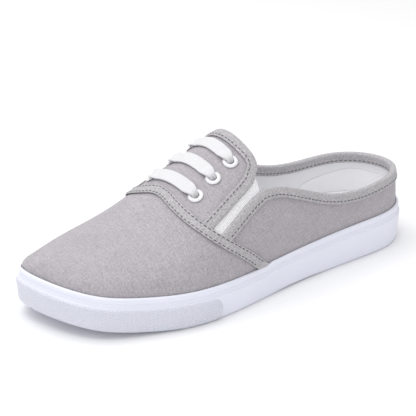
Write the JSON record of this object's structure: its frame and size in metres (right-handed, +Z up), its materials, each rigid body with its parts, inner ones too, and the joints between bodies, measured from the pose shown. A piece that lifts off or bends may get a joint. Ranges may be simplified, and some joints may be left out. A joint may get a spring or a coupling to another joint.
{
  "type": "canvas slip-on shoe",
  "caption": "Low-backed canvas slip-on shoe for the left foot, with a laced saddle, elastic gores, taped seams and a white cup sole with a raised toe bumper.",
  "frame": {"origin": "on the floor, at the centre of the shoe's bounding box", "axes": "+X from heel to toe, +Y to the wearer's left (the outer side), +Z up"},
  "size_m": [0.2712, 0.1094, 0.0904],
  "materials": {
    "grey_canvas": "matt woven canvas",
    "grey_tape": "matt woven tape",
    "white_sole": "satin vulcanised rubber",
    "white_elastic": "ribbed elastic",
    "white_enamel": "gloss white",
    "white_cotton": "flat woven lace",
    "white_footbed": "matt fabric over foam"
  },
  "bodies": {
    "root": {"outsole": "white_sole", "toe_bumper": "white_sole", "insole": "white_footbed", "upper": "grey_canvas", "seam_tape": "grey_tape", "collar_binding": "grey_tape", "saddle_binding": "grey_tape", "gore_outer": "white_elastic", "gore_inner": "white_elastic", "eyelet_outer_1": "white_enamel", "eyelet_outer_2": "white_enamel", "eyelet_outer_3": "white_enamel", "eyelet_inner_1": "white_enamel", "eyelet_inner_2": "white_enamel", "eyelet_inner_3": "white_enamel", "lace_1": "white_cotton", "lace_2": "white_cotton", "lace_3": "white_cotton"}
  },
  "joints": []
}
